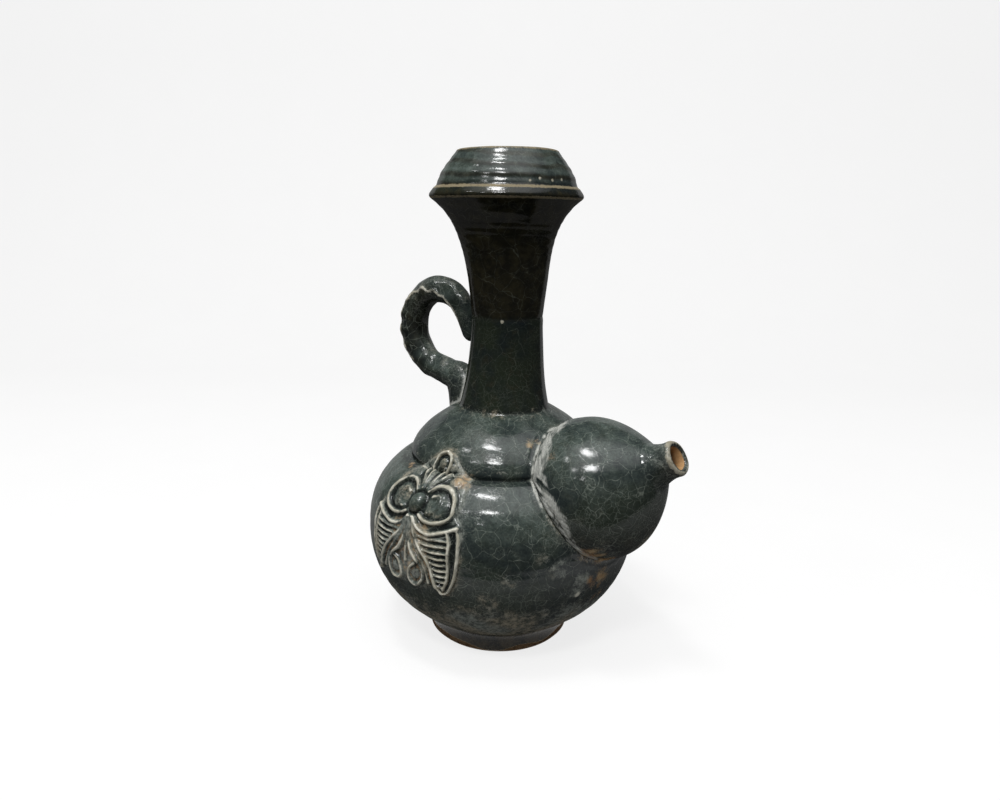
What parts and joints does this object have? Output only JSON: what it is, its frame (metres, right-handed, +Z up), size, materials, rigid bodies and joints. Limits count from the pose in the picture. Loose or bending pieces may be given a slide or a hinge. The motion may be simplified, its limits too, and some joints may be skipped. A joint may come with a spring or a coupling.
{
  "type": "spouted ceramic jug",
  "caption": "Glazed stoneware jug: globular body on a low foot, tall flared neck under a flanged mouth, swelling side spout, coiled handle and moulded sprigs.",
  "frame": {"origin": "centre of the foot's flat underside, where the jug's turning axis meets the table", "axes": "+Z up along the jug's turning axis, +X towards the spout, -X towards the handle, -Y and +Y towards the moulded sprigs"},
  "size_m": [0.1548, 0.1296, 0.22],
  "materials": {
    "dark_glaze": "glossy, crackled, near-black green",
    "olive_glaze": "glossy, crackled, olive brown",
    "worn_glaze": "thin glaze broken to grey tan on raised edges",
    "bare_clay": "unglazed, matt brown"
  },
  "bodies": {
    "root": {"foot": "bare_clay", "lower_body": "dark_glaze", "upper_body": "dark_glaze", "shoulder": "dark_glaze", "lower_neck": "dark_glaze", "upper_neck": "olive_glaze", "neck_flange": "worn_glaze", "mouth_cup": "dark_glaze", "spout_bulb": "dark_glaze", "spout_nozzle": "worn_glaze", "handle": "dark_glaze", "front_sprig": "worn_glaze", "back_sprig": "worn_glaze"}
  },
  "joints": []
}
